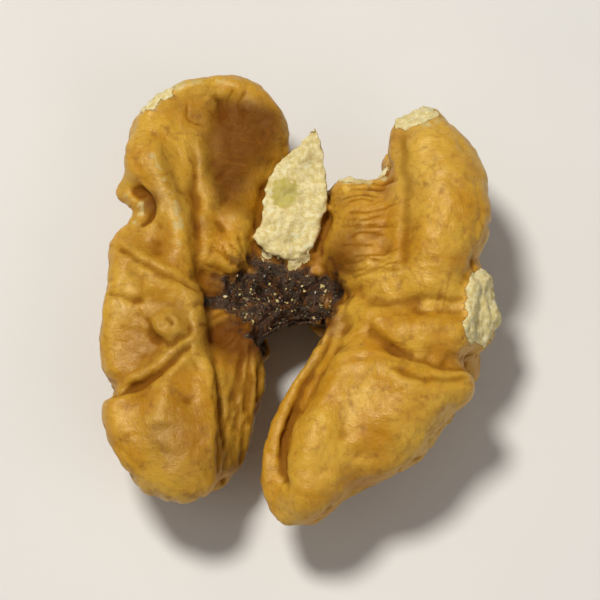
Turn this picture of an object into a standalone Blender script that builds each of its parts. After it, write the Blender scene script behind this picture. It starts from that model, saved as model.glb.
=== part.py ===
"""Half of a shelled walnut kernel, lying on its rounded back with its inner face up.

The kernel is one grown piece: two lobes joined at the middle by a dark pith and a broken stump.
It is modelled as flattened pads of flesh with rounded folds laid over them.  A skin is grown over
the whole, the creases are softened, and a few pieces are broken off.
+X runs across the two lobes, +Y from the open cleft to the joined end, and +Z out of the inner face.
"""
import math

import bmesh
import bpy
from mathutils import Matrix, Vector

MM = 0.001

# Driving dimensions of the whole kernel.
KERNEL_WIDTH = 30.5 * MM
KERNEL_LENGTH = 36.0 * MM
KERNEL_HEIGHT = 13.6 * MM
RESTING_FLAT = 0.35 * MM

# How finely the skin is grown, how soft its creases are and how uneven its flesh is.
SKIN_CELL = 0.36 * MM
CREASE_SOFTENING = 6
SWELL = 0.8 * MM
SWELL_SCALE = 3.4 * MM
TRIANGLES = 9000

# Pads: flattened masses of flesh, as centre and half sizes in mm, and a turn about +Z in degrees.
PADS = {
    "left_core": ((-7.3, 3.0, 5.4), (4.4, 12.0, 3.0), 0),
    "left_foot_core": ((-9.0, -9.2, 5.6), (4.4, 5.4, 3.0), 14),
    "right_core": ((8.6, 3.5, 5.8), (5.6, 9.4, 3.4), 0),
    "right_foot_core": ((5.6, -8.0, 5.8), (7.2, 4.4, 3.4), 47),
    "left_back_core": ((-7.0, 1.6, 4.6), (4.2, 10.6, 2.8), 0),
    "right_back_core": ((7.2, 1.0, 4.6), (5.2, 8.6, 2.9), 0),
    "right_foot_back": ((5.6, -8.0, 5.0), (5.8, 4.2, 2.6), 45),
    "bridge": ((-0.8, 5.0, 5.2), (5.6, 5.6, 2.5), 0),
    "pith_seat": ((-1.4, 0.6, 6.0), (4.6, 3.3, 1.8), 0),
    "left_shoulder": ((-9.8, 10.8, 7.6), (3.4, 5.4, 2.4), 12),
    "left_dome": ((-4.6, 12.6, 6.8), (3.9, 4.4, 2.2), 0),
    "left_middle": ((-10.9, -0.6, 7.8), (4.0, 5.6, 2.6), 0),
    "left_valley": ((-5.0, 6.4, 6.0), (3.0, 6.0, 2.2), 0),
    "left_foot": ((-9.4, -10.7, 8.2), (4.0, 5.0, 2.9), 22),
    "right_belly": ((6.9, -8.5, 8.2), (7.0, 4.2, 3.6), 44),
    "right_toe": ((1.9, -12.9, 8.0), (4.6, 2.7, 3.2), 58),
    "right_shelf": ((5.9, 4.4, 7.4), (3.7, 5.2, 2.9), 0),
    "right_wall": ((4.5, 7.2, 6.5), (2.4, 3.9, 2.4), 0),
    "right_side": ((12.9, -0.9, 8.2), (2.7, 3.5, 2.7), 0),
    "lip_seat": ((0.6, -11.6, 6.6), (2.0, 4.8, 2.3), 12),
    "pale_knob": ((-5.3, 3.6, 8.2), (1.5, 1.9, 1.3), 0),
    "small_knob": ((-4.9, 6.2, 7.9), (1.6, 1.3, 1.1), 0),
    "ring_knob": ((-9.9, -2.7, 10.0), (1.4, 1.3, 1.1), 0),
    "left_top_filling": ((-8.3, 14.0, 7.6), (2.6, 2.3, 2.0), 0),
    "left_curl_filling": ((-11.0, 4.4, 8.4), (1.8, 1.6, 1.7), 0),
    "left_hem_filling": ((-12.0, -4.3, 8.5), (1.6, 1.4, 1.7), 0),
    "left_foot_filling": ((-8.4, -7.2, 8.6), (1.4, 2.4, 1.8), 0),
    "right_belly_filling": ((4.2, -9.6, 9.2), (2.4, 3.2, 2.1), 0),
}

# Folds on the inner face: points along each in mm, and the fold's radius there.
FACE_FOLDS = {
    "left_rim": [
        (-11.5, 13.4, 8.8, 1.1), (-10.3, 14.9, 9.0, 1.2), (-7.6, 16.1, 8.8, 1.3), (-4.9, 16.3, 8.4, 1.4),
        (-2.4, 14.4, 7.8, 1.4), (-1.5, 12.0, 7.2, 1.2),
    ],
    "left_ridge": [
        (-10.9, 12.9, 8.9, 1.6), (-11.7, 10.4, 9.4, 1.8), (-10.6, 8.4, 9.5, 1.6), (-9.4, 5.6, 9.6, 1.5),
        (-9.1, 2.2, 9.6, 1.4),
    ],
    "left_inner_slope": [(-6.9, 8.8, 7.9, 1.3), (-7.4, 6.2, 8.3, 1.4), (-7.2, 3.4, 8.5, 1.4)],
    "left_curl": [
        (-13.2, 8.5, 8.4, 0.9), (-12.5, 7.6, 8.8, 0.8), (-11.9, 6.6, 9.0, 0.75), (-12.2, 5.7, 8.8, 0.8),
        (-12.9, 4.9, 8.4, 1.0),
    ],
    "left_edge": [
        (-13.3, 3.5, 8.4, 1.5), (-13.2, 0.8, 8.9, 1.5), (-13.4, -2.4, 8.7, 1.6), (-13.2, -5.2, 8.3, 1.6),
    ],
    "left_band": [(-12.2, 3.2, 9.0, 1.4), (-10.6, 0.9, 9.8, 1.6), (-8.2, -0.3, 9.4, 1.4)],
    "left_hem": [
        (-7.9, -1.9, 9.0, 1.2), (-8.0, -3.9, 9.3, 1.2), (-9.8, -5.5, 9.4, 1.3), (-12.2, -6.0, 8.8, 1.4),
    ],
    "left_foot_side": [(-7.2, -5.6, 8.9, 1.4), (-7.0, -9.6, 9.2, 1.5), (-7.2, -13.7, 8.3, 1.6)],
    "left_foot_edge": [(-13.0, -8.6, 8.7, 1.7), (-12.5, -10.6, 8.8, 1.8), (-10.6, -12.9, 8.2, 1.8)],
    "left_foot_toe": [(-9.6, -7.8, 9.2, 1.8), (-9.8, -10.8, 9.2, 2.0), (-8.4, -13.2, 8.4, 2.0)],
    "left_deep_wall": [(-4.2, -3.2, 6.9, 1.7), (-4.1, -6.4, 6.4, 1.6), (-5.1, -11.2, 5.4, 1.4)],
    "left_deep_fold": [(-5.8, -4.2, 7.6, 1.2), (-5.7, -8.0, 7.2, 1.2), (-6.0, -12.0, 6.4, 1.2)],
    "right_finger": [
        (9.5, 12.9, 9.0, 2.2), (10.4, 10.8, 9.4, 2.8), (11.3, 8.4, 9.7, 3.2), (11.3, 5.6, 9.8, 3.3),
        (10.6, 3.0, 9.8, 2.9), (10.0, 0.9, 9.6, 2.5),
    ],
    "right_finger_inner": [
        (8.5, 12.6, 8.8, 1.5), (8.8, 8.6, 9.3, 1.9), (8.5, 5.0, 9.5, 2.0), (8.2, 1.6, 9.4, 1.9),
    ],
    "right_wall_foot": [(5.4, 2.6, 8.0, 1.8), (6.8, 0.9, 8.8, 1.7), (8.8, 0.2, 9.4, 1.7)],
    "stump_keel": [(-0.8, 4.4, 5.6, 2.0), (-0.1, 7.6, 6.7, 1.6), (0.7, 10.6, 8.2, 0.9)],
    "right_crescent": [
        (4.2, -0.9, 8.3, 1.2), (6.0, -2.2, 9.2, 1.6), (8.6, -3.4, 9.9, 1.9), (11.2, -3.3, 9.6, 1.9),
        (12.9, -2.4, 8.6, 1.7),
    ],
    "right_belly_rim": [
        (4.6, -4.0, 9.0, 1.5), (6.4, -6.4, 10.0, 1.8), (9.0, -7.6, 10.2, 1.9), (11.6, -7.0, 9.2, 1.9),
    ],
    "right_belly_crest": [
        (4.0, -5.8, 9.4, 1.7), (2.5, -8.8, 9.6, 1.9), (1.4, -11.6, 9.6, 2.0), (1.1, -14.6, 8.9, 1.9),
    ],
    "right_lip": [
        (2.9, -1.0, 7.8, 0.9), (2.3, -3.6, 8.2, 0.9), (0.5, -6.4, 8.3, 0.9), (-1.1, -9.2, 8.2, 0.9),
        (-1.9, -12.2, 8.0, 0.9), (-1.8, -14.8, 7.7, 0.9), (-0.8, -16.4, 7.4, 0.9),
    ],
}

# Folds on the rounded back, from the groove along its middle out to the rim.
BACK_FOLDS = {
    "right_back_top": [
        (3.6, 6.8, 3.6, 1.6), (6.9, 8.9, 3.3, 2.0), (10.0, 11.4, 5.6, 2.3), (11.0, 8.6, 4.6, 1.9),
    ],
    "right_back_upper": [
        (2.2, 4.9, 2.9, 1.9), (5.4, 7.2, 2.0, 2.1), (8.6, 5.2, 2.4, 2.0), (12.4, 6.4, 5.4, 2.2),
    ],
    "right_back_middle": [
        (2.4, 0.4, 3.0, 1.8), (6.2, 2.4, 2.1, 1.9), (8.6, 0.0, 2.4, 2.1), (12.4, 1.6, 5.2, 2.3),
    ],
    "right_back_lower": [
        (2.6, -4.4, 3.2, 1.8), (5.0, -2.4, 2.4, 2.0), (7.4, -5.2, 2.35, 2.1), (11.8, -4.0, 5.0, 2.2),
    ],
    "right_back_low": [
        (1.4, -10.2, 4.2, 1.8), (4.4, -8.0, 2.7, 2.0), (6.8, -9.2, 3.3, 2.0), (9.8, -7.2, 5.2, 2.2),
    ],
    "right_back_toe": [(0.6, -15.0, 5.8, 1.6), (2.8, -12.2, 4.2, 2.0), (5.4, -11.4, 5.2, 1.8)],
    "left_back_top": [
        (-2.8, 12.0, 5.0, 1.6), (-5.2, 14.2, 4.9, 1.9), (-8.8, 13.4, 4.9, 2.1), (-11.0, 11.2, 6.4, 1.9),
    ],
    "left_back_upper": [
        (-2.4, 7.8, 3.6, 1.8), (-5.6, 9.8, 2.3, 2.1), (-8.6, 8.0, 2.4, 2.0), (-11.2, 9.4, 5.4, 1.9),
    ],
    "left_back_middle": [
        (-2.2, 2.6, 2.9, 1.8), (-4.9, 5.0, 2.4, 1.9), (-8.2, 3.4, 2.3, 2.1), (-12.0, 3.0, 5.0, 2.0),
    ],
    "left_back_lower": [
        (-3.4, -2.2, 3.6, 1.6), (-6.6, -0.6, 2.4, 2.0), (-8.8, -3.0, 2.5, 2.1), (-12.2, -1.0, 5.0, 2.2),
    ],
    "left_back_low": [
        (-5.2, -7.2, 3.9, 1.6), (-7.4, -5.6, 2.6, 1.9), (-9.8, -7.8, 2.8, 2.0), (-12.2, -5.8, 5.2, 2.0),
    ],
    "left_back_foot": [(-6.4, -12.2, 5.0, 1.7), (-8.6, -11.2, 3.8, 2.0), (-11.2, -11.0, 5.4, 2.0)],
}

# Outline of the broken stump's flat face in mm, and how that face slopes.
STUMP_OUTLINE = [
    (-0.4, 2.7), (0.9, 3.4), (1.9, 5.2), (2.4, 7.3), (2.3, 9.3), (2.3, 11.4), (1.5, 13.3),
    (0.7, 12.7), (-0.2, 11.5), (-1.8, 10.3), (-2.7, 8.6), (-2.8, 6.2), (-3.6, 4.6), (-2.4, 3.4),
]
STUMP_MIDDLE = (0.0, 7.8, 9.2)
STUMP_NORMAL = (0.10, -0.20, 1.0)
STUMP_DEPTH = 3.6
STUMP_TAPER = 0.62

# Where a bit has broken off: a point on the break in mm, the way the break faces, and how wide it is.
BREAKS = {
    "corner_break": ((-11.6, 15.0, 9.4), (-0.55, 0.62, 0.56), 4.0),
    "finger_tip_break": ((8.9, 14.4, 9.6), (-0.3, 0.7, 0.65), 4.0),
    "side_break": ((14.2, -0.9, 9.3), (0.80, -0.06, 0.60), 6.0),
}
BREAK_DEPTH = 5.0

# Gaps torn into the rim: outline in mm seen along +Z, the height its foot reaches down to, and how
# much narrower the gap is at its foot.
GAPS = {
    "upper_gap": (
        [
            (2.6, 10.6), (3.2, 9.5), (4.2, 9.2), (5.3, 9.4), (6.2, 9.5), (6.7, 10.1), (6.8, 12.0),
            (6.4, 14.4), (6.8, 19.0), (2.9, 19.0),
        ],
        -1.0, 0.72,
    ),
    "left_gap": (
        [
            (-17.0, 8.0), (-13.9, 7.5), (-13.0, 7.0), (-12.6, 6.4), (-12.8, 5.9), (-13.7, 5.5),
            (-17.0, 5.2),
        ],
        3.5, 0.60,
    ),
}
GAP_TOP = 14.0


def clear_scene():
    for old in list(bpy.data.objects):
        bpy.data.objects.remove(old, do_unlink=True)


def link_mesh(name, bm):
    mesh = bpy.data.meshes.new(name)
    bm.to_mesh(mesh)
    bm.free()
    thing = bpy.data.objects.new(name, mesh)
    bpy.context.scene.collection.objects.link(thing)
    return thing


def add_ellipsoid(bm, centre, radii, turn=0.0, rings=3):
    size = Matrix.Diagonal((*[radius * MM for radius in radii], 1.0))
    spin = Matrix.Rotation(math.radians(turn), 4, "Z")
    place = Matrix.Translation(Vector(centre) * MM) @ spin @ size
    bmesh.ops.create_icosphere(bm, subdivisions=rings, radius=1.0, matrix=place)


def add_fold(bm, name, knots):
    """One rounded fold: a tube that swells and narrows along a smooth line, closed by round ends."""
    curve = bpy.data.curves.new(name, "CURVE")
    curve.dimensions = "3D"
    curve.bevel_depth = MM
    curve.bevel_resolution = 4
    curve.resolution_u = 10
    curve.use_fill_caps = True
    line = curve.splines.new("BEZIER")
    line.bezier_points.add(len(knots) - 1)
    for point, (x, y, z, radius) in zip(line.bezier_points, knots):
        point.co = Vector((x, y, z)) * MM
        point.radius = radius
        point.handle_left_type = "AUTO"
        point.handle_right_type = "AUTO"
    fold = bpy.data.objects.new(name, curve)
    bpy.context.scene.collection.objects.link(fold)
    bpy.context.view_layer.update()
    mesh = bpy.data.meshes.new_from_object(fold)
    bm.from_mesh(mesh)
    bpy.data.objects.remove(fold, do_unlink=True)
    bpy.data.meshes.remove(mesh)
    for x, y, z, radius in (knots[0], knots[-1]):
        add_ellipsoid(bm, (x, y, z), (radius, radius, radius))


def make_blank():
    bm = bmesh.new()
    for centre, radii, turn in PADS.values():
        add_ellipsoid(bm, centre, radii, turn, rings=4)
    for folds in (FACE_FOLDS, BACK_FOLDS):
        for name, knots in folds.items():
            add_fold(bm, name, knots)
    return link_mesh("kernel_blank", bm)


def grow_skin(blank):
    """Turn the overlapping pads and folds into one closed, softly creased, uneven skin."""
    skin = blank.modifiers.new("skin", "REMESH")
    skin.mode = "VOXEL"
    skin.voxel_size = SKIN_CELL
    smooth = blank.modifiers.new("soft_creases", "SMOOTH")
    smooth.factor = 0.5
    smooth.iterations = CREASE_SOFTENING
    swelling = bpy.data.textures.new("swelling", "CLOUDS")
    swelling.noise_scale = SWELL_SCALE
    swell = blank.modifiers.new("uneven_flesh", "DISPLACE")
    swell.texture = swelling
    swell.texture_coords = "LOCAL"
    swell.strength = SWELL
    swell.mid_level = 0.5


def thin_out(thing, triangles):
    bpy.context.view_layer.update()
    faces = len(evaluated_mesh(thing).polygons)
    thin = thing.modifiers.new("fewer_faces", "DECIMATE")
    thin.ratio = triangles / (2 * faces)
    thin.use_collapse_triangulate = True


def evaluated_mesh(thing):
    return thing.evaluated_get(bpy.context.evaluated_depsgraph_get()).to_mesh()


def bake(thing, name):
    """The thing as it stands after its modifiers, as a plain mesh object."""
    bpy.context.view_layer.update()
    mesh = bpy.data.meshes.new_from_object(thing.evaluated_get(bpy.context.evaluated_depsgraph_get()))
    mesh.name = name
    baked = bpy.data.objects.new(name, mesh)
    bpy.context.scene.collection.objects.link(baked)
    return baked


def keep_outer_skin(thing):
    """Take away every loose bit and enclosed pocket, leaving the one outer skin."""
    bm = bmesh.new()
    bm.from_mesh(thing.data)
    pieces = []
    waiting = set(bm.verts)
    while waiting:
        piece = {waiting.pop()}
        edge_of_piece = list(piece)
        while edge_of_piece:
            vert = edge_of_piece.pop()
            near = {edge.other_vert(vert) for edge in vert.link_edges} & waiting
            waiting -= near
            piece |= near
            edge_of_piece.extend(near)
        pieces.append(piece)
    pieces.sort(key=len)
    for piece in pieces[:-1]:
        bmesh.ops.delete(bm, geom=list(piece), context="VERTS")
    bm.to_mesh(thing.data)
    bm.free()


def hide_tool(tool):
    tool.hide_render = True
    tool.display_type = "WIRE"


def add_cutter(name, point, normal, width):
    """A block standing on the break with everything the break takes away inside it."""
    toward = Vector(normal).normalized()
    turn = toward.to_track_quat("Z", "Y").to_matrix().to_4x4()
    middle = Vector(point) * MM + toward * BREAK_DEPTH * MM / 2
    size = Matrix.Diagonal((width * MM, width * MM, BREAK_DEPTH * MM, 1.0))
    bm = bmesh.new()
    bmesh.ops.create_cube(bm, size=1.0, matrix=Matrix.Translation(middle) @ turn @ size)
    cutter = link_mesh(name, bm)
    hide_tool(cutter)
    return cutter


def add_gap(name, outline, foot_height, taper):
    """A tapering plug the shape of a gap, reaching from above the kernel down to the gap's foot."""
    middle = sum((Vector(point) for point in outline), Vector((0.0, 0.0))) / len(outline)
    bm = bmesh.new()
    top = bm.faces.new([bm.verts.new(Vector((x, y, GAP_TOP)) * MM) for x, y in outline])
    grown = bmesh.ops.extrude_face_region(bm, geom=[top])
    for vert in [item for item in grown["geom"] if isinstance(item, bmesh.types.BMVert)]:
        flat = middle * MM + (vert.co.xy - middle * MM) * taper
        vert.co = Vector((flat.x, flat.y, foot_height * MM))
    bmesh.ops.recalc_face_normals(bm, faces=bm.faces)
    gap = link_mesh(name, bm)
    hide_tool(gap)
    return gap


def add_stump():
    """The broken stump: a leaf-shaped block with a flat sloping face, sunk into the flesh."""
    toward = Vector(STUMP_NORMAL)
    middle = Vector(STUMP_MIDDLE)
    bm = bmesh.new()
    top = []
    for x, y in STUMP_OUTLINE:
        drop = toward.x * (x - middle.x) + toward.y * (y - middle.y)
        top.append(bm.verts.new(Vector((x, y, middle.z - drop / toward.z)) * MM))
    face = bm.faces.new(top)
    grown = bmesh.ops.extrude_face_region(bm, geom=[face])
    foot = [item for item in grown["geom"] if isinstance(item, bmesh.types.BMVert)]
    for vert in foot:
        narrowed = middle * MM + (vert.co - middle * MM) * STUMP_TAPER
        vert.co = narrowed - Vector((0.0, 0.0, STUMP_DEPTH * MM))
    bmesh.ops.recalc_face_normals(bm, faces=bm.faces)
    stump = link_mesh("stump", bm)
    hide_tool(stump)
    return stump


def combine(thing, tool, operation):
    step = thing.modifiers.new(tool.name, "BOOLEAN")
    step.operation = operation
    step.solver = "EXACT"
    step.object = tool


def fit_to_size(thing):
    """Scale the kernel to its driving dimensions, standing on z = 0 over the middle of its base."""
    corners = [Vector(corner) for corner in thing.bound_box]
    low = Vector([min(corner[axis] for corner in corners) for axis in range(3)])
    high = Vector([max(corner[axis] for corner in corners) for axis in range(3)])
    size = high - low
    wanted = Vector((KERNEL_WIDTH, KERNEL_LENGTH, KERNEL_HEIGHT))
    scale = Matrix.Diagonal((wanted.x / size.x, wanted.y / size.y, wanted.z / size.z, 1.0))
    base = Vector(((low.x + high.x) / 2, (low.y + high.y) / 2, low.z))
    thing.data.transform(scale @ Matrix.Translation(-base))


def add_floor():
    """A slab that takes the lowest folds of the back down to small flats to rest on."""
    bm = bmesh.new()
    reach = 2 * KERNEL_LENGTH
    middle = Vector((0.0, 0.0, RESTING_FLAT - KERNEL_HEIGHT / 2))
    size = Matrix.Diagonal((reach, reach, KERNEL_HEIGHT, 1.0))
    bmesh.ops.create_cube(bm, size=1.0, matrix=Matrix.Translation(middle) @ size)
    floor = link_mesh("resting_floor", bm)
    hide_tool(floor)
    return floor


def kernel_material():
    skin = bpy.data.materials.new("walnut_skin")
    skin.use_nodes = True
    shader = skin.node_tree.nodes["Principled BSDF"]
    shader.inputs["Base Color"].default_value = (0.49, 0.27, 0.06, 1.0)
    shader.inputs["Roughness"].default_value = 0.5
    shader.inputs["Metallic"].default_value = 0.0
    return skin


def make_kernel():
    blank = make_blank()
    grow_skin(blank)
    thin_out(blank, TRIANGLES)
    whole = bake(blank, "kernel_whole")
    tools = [add_stump()]
    combine(whole, tools[0], "UNION")
    for name, (point, normal, width) in BREAKS.items():
        cutter = add_cutter(name, point, normal, width)
        combine(whole, cutter, "DIFFERENCE")
        tools.append(cutter)
    for name, (outline, foot_height, taper) in GAPS.items():
        gap = add_gap(name, outline, foot_height, taper)
        combine(whole, gap, "DIFFERENCE")
        tools.append(gap)
    broken = bake(whole, "kernel_broken")
    fit_to_size(broken)
    floor = add_floor()
    combine(broken, floor, "DIFFERENCE")
    kernel = bake(broken, "walnut_kernel")
    for spare in (blank, whole, broken, floor, *tools):
        bpy.data.objects.remove(spare, do_unlink=True)
    keep_outer_skin(kernel)
    fit_to_size(kernel)
    kernel.data.materials.clear()
    kernel.data.materials.append(kernel_material())
    return kernel


clear_scene()
make_kernel()
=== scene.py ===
"""The looks of a shelled walnut half kernel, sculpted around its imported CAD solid.

Lengths are in metres.  Places on the inner face are written in millimetres, in the CAD frame:
x across the two lobes, y from the open cleft up to the joined end.
"""
import math
import random

import bmesh
import bpy
import numpy as np
from mathutils import Matrix, Vector, noise
from mathutils.bvhtree import BVHTree


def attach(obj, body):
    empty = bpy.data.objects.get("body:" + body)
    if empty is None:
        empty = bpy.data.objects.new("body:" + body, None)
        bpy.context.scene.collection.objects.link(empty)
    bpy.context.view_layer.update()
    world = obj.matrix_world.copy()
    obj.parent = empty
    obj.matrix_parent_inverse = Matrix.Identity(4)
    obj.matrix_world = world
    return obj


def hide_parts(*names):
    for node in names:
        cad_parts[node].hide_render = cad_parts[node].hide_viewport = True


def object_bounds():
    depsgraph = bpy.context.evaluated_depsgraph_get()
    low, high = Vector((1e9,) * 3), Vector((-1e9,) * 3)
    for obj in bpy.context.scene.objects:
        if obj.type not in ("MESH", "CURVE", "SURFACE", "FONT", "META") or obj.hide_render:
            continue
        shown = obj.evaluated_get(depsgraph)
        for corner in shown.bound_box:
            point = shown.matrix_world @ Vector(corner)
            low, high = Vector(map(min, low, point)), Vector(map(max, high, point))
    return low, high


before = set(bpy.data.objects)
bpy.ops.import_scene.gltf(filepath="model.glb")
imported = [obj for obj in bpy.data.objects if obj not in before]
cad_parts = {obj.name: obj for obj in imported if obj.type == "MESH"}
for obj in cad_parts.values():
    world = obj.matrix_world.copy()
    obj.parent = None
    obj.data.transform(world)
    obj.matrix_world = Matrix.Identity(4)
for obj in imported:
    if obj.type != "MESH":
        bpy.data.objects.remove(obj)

MM = 0.001
NODE = "walnut_kernel"
SLOT = "walnut_skin"
CELL = 0.205 * MM
FIRST_SMOOTHING = 10
FINAL_SMOOTHING = 2
CALM_SMOOTHING = 90
SMALLEST_BREAK = 2.6 * MM * MM
BARE_REACH = 1.0 * MM

cad_low, cad_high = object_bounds()


# ---------------------------------------------------------------- mesh helpers

def link(name, mesh):
    thing = bpy.data.objects.new(name, mesh)
    bpy.context.scene.collection.objects.link(thing)
    return thing


def evaluated_copy(thing, name):
    """A plain mesh object of a thing with its modifiers applied; the thing itself is removed."""
    bpy.context.view_layer.update()
    mesh = bpy.data.meshes.new_from_object(thing.evaluated_get(bpy.context.evaluated_depsgraph_get()))
    mesh.name = name
    bpy.data.objects.remove(thing, do_unlink=True)
    return link(name, mesh)


def grow_fine_mesh(node, cell):
    """The CAD node's skin again, on a fine even mesh with the facets smoothed away."""
    bm = bmesh.new()
    bm.from_mesh(node.data)
    bmesh.ops.remove_doubles(bm, verts=bm.verts, dist=1e-6)
    mesh = bpy.data.meshes.new("kernel_rough")
    bm.to_mesh(mesh)
    bm.free()
    rough = link("kernel_rough", mesh)
    remesh = rough.modifiers.new("fine", "REMESH")
    remesh.mode = "VOXEL"
    remesh.voxel_size = cell
    return evaluated_copy(rough, "kernel")


def read_points(mesh):
    co = np.empty(len(mesh.vertices) * 3)
    mesh.vertices.foreach_get("co", co)
    return co.reshape(-1, 3)


def write_points(mesh, co):
    mesh.vertices.foreach_set("co", co.astype(np.float32).ravel())
    mesh.update()


def read_normals(mesh):
    out = np.empty(len(mesh.vertices) * 3)
    mesh.vertex_normals.foreach_get("vector", out)
    return out.reshape(-1, 3)


def read_edges(mesh):
    out = np.empty(len(mesh.edges) * 2, dtype=np.int64)
    mesh.edges.foreach_get("vertices", out)
    return out.reshape(-1, 2)


def spread(values, edges, passes, share=0.6):
    """Average each point's value with its neighbours', a number of times."""
    flat = values.ndim == 1
    values = values.reshape(len(values), -1).copy()
    count = np.bincount(edges.ravel(), minlength=len(values))[:, None]
    for _ in range(passes):
        total = np.empty_like(values)
        for k in range(values.shape[1]):
            column = values[:, k]
            total[:, k] = np.bincount(edges[:, 0], column[edges[:, 1]], len(values))
            total[:, k] += np.bincount(edges[:, 1], column[edges[:, 0]], len(values))
        values += share * (total / count - values)
    return values[:, 0] if flat else values


def smoothstep(low, high, x):
    t = np.clip((x - low) / (high - low), 0.0, 1.0)
    return t * t * (3.0 - 2.0 * t)


def by_height(co, low, high):
    """0 at one height in mm and 1 at the other, smooth between them."""
    return smoothstep(low * MM, high * MM, co[:, 2])


def noise_at(co, size, seed, octaves=1):
    """Smooth noise of a given feature size in metres, about -1 to 1."""
    shift = Vector((seed * 7.31, seed * 3.17, seed * 5.73))
    out = np.empty(len(co))
    scaled = co / size
    if octaves == 1:
        for i, p in enumerate(scaled.tolist()):
            out[i] = noise.noise(Vector(p) + shift)
    else:
        for i, p in enumerate(scaled.tolist()):
            out[i] = noise.fractal(Vector(p) + shift, 0.9, 2.0, octaves)
    return out


def ripples(co, size, stretch, seed):
    """Noise drawn out along an axis or two, as fine parallel wrinkles."""
    return noise_at(co / np.array(stretch), size, seed, 2)


def spots(co, places):
    """The strength of each place in the list (1 if none is given), falling to 0 at its reach, blended."""
    clear = np.ones(len(co))
    for x, y, reach, *strength in places:
        gap = np.hypot(co[:, 0] / MM - x, co[:, 1] / MM - y) / reach
        clear *= 1.0 - (1.0 - smoothstep(0.0, 1.0, gap)) * (strength or [1.0])[0]
    return 1.0 - clear


def warped(co, size, amount, seed):
    """Points pushed about by noise, so that what follows wanders."""
    shifts = [noise_at(co, size, seed + k) for k in range(3)]
    return co + amount * np.stack(shifts, axis=1)


# ---------------------------------------------------------------- strokes on the inner face

def smooth_line(knots, per_span=8):
    """A smooth line through a few points in mm, as closely spaced points in metres."""
    pts = np.array(knots, float)
    pts = np.vstack([2 * pts[0] - pts[1], pts, 2 * pts[-1] - pts[-2]])
    out = []
    for a, b, c, d in zip(pts, pts[1:], pts[2:], pts[3:]):
        for t in np.linspace(0.0, 1.0, per_span, endpoint=False):
            out.append(0.5 * (2 * b + (c - a) * t + (2 * a - 5 * b + 4 * c - d) * t ** 2
                              + (3 * b - a - 3 * c + d) * t ** 3))
    out.append(pts[-2])
    return np.array(out) * MM


def distance_to_line(xy, line):
    """How far each point is from a line, and how far along it the nearest place is (0 to 1)."""
    best = np.full(len(xy), 1e9)
    along = np.zeros(len(xy))
    last = len(line) - 1
    for k, (a, b) in enumerate(zip(line, line[1:])):
        step = b - a
        t = np.clip(((xy - a) @ step) / (step @ step), 0.0, 1.0)
        gap = np.hypot(*(xy - a - t[:, None] * step).T)
        near = gap < best
        best[near] = gap[near]
        along[near] = (k + t[near]) / last
    return best, along


# Creases: points along each, its depth and its half width, in mm.
CREASES = {
    "left_ridge_side": (
        [(-8.3, 12.6), (-8.0, 9.0), (-7.8, 5.2), (-7.7, 2.0), (-7.9, 0.4)], 0.22, 0.34),
    "left_band_upper": (
        [(-14.2, 3.9), (-12.6, 2.2), (-10.8, 1.0), (-8.4, 0.0), (-7.0, -0.3)], 0.26, 0.22),
    "left_band_lower": (
        [(-14.8, -0.2), (-12.9, -0.9), (-11.4, -1.4)], 0.16, 0.24),
    "left_foot_crease": (
        [(-15.0, -8.3), (-12.8, -7.9), (-10.9, -7.0), (-9.3, -5.7), (-7.6, -4.2)], 0.45, 0.30),
    "left_knob_around": (
        [(-11.5, -2.2), (-11.2, -3.7), (-9.8, -4.5), (-8.5, -3.8), (-8.3, -2.4)], 0.26, 0.22),
    "left_knob_eye": (
        [(-10.3, -2.4), (-9.7, -2.9), (-9.4, -3.4)], 0.16, 0.22),
    "left_foot_line": (
        [(-6.6, -4.4), (-6.0, -8.0), (-5.9, -12.4), (-5.9, -14.6)], 0.26, 0.26),
    "right_finger_foot": (
        [(4.2, -1.2), (6.4, -1.3), (9.0, -1.0), (11.4, -1.2), (12.8, -0.8)], 0.10, 0.34),
    "right_crescent_foot": (
        [(4.6, -2.6), (6.2, -4.4), (8.4, -5.9), (11.2, -6.5), (13.4, -5.8)], 0.16, 0.36),
    "right_belly_line": (
        [(6.0, -6.4), (8.6, -7.6), (11.0, -7.6), (13.0, -6.9)], 0.10, 0.34),
    "right_lip_groove": (
        [(2.9, -2.4), (1.9, -4.4), (0.2, -7.6), (-1.0, -11.2), (-1.3, -14.0), (-0.7, -16.6)], 0.36, 0.26),
    "left_curl_crease": (
        [(-12.9, 8.4), (-12.0, 7.6), (-11.4, 6.9), (-11.1, 6.2), (-11.5, 5.5), (-12.4, 5.0)], 0.42, 0.24),
    "right_finger_side": (
        [(7.7, 13.4), (7.9, 10.0), (8.1, 6.6), (7.9, 3.0), (7.6, 0.2)], 0.10, 0.5),
}

# Raised rims: as creases, with a height in place of a depth.
RIMS = {
    "left_curl_lip": (
        [(-13.6, 8.2), (-12.7, 7.5), (-12.0, 6.7), (-12.0, 6.1), (-12.5, 5.5)], 0.20, 0.30),
    "left_top_rim": (
        [(-12.2, 13.2), (-11.0, 15.0), (-8.6, 16.4), (-5.8, 16.9), (-3.4, 15.8)], 0.16, 0.5),
    "wall_top_rim": (
        [(2.8, 8.9), (4.2, 8.7), (5.4, 8.9), (6.6, 9.2)], 0.22, 0.3),
    "left_ridge_crest": (
        [(-10.4, 11.6), (-10.9, 9.6), (-9.9, 7.2), (-9.2, 4.6), (-9.0, 2.0)], 0.16, 0.6),
}

# The lists of places below give x and y, the reach, all in mm, and a strength where it is not 1.

# Where the skin is rubbed pale along its edges.
SCUFFS = [
    (-11.1, 15.2, 1.6), (-9.4, 16.3, 1.1), (-12.2, 6.8, 0.6, 0.8), (-12.1, 6.0, 0.6, 0.8),
    (-13.2, 7.7, 0.6, 0.7), (-12.6, 5.5, 0.6, 0.7), (7.9, 14.3, 1.0), (5.3, 9.2, 0.8),
    (6.4, 9.4, 0.7), (3.6, 9.1, 0.6), (4.5, 9.0, 0.5), (9.6, 12.8, 2.2, 0.6),
]

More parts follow.
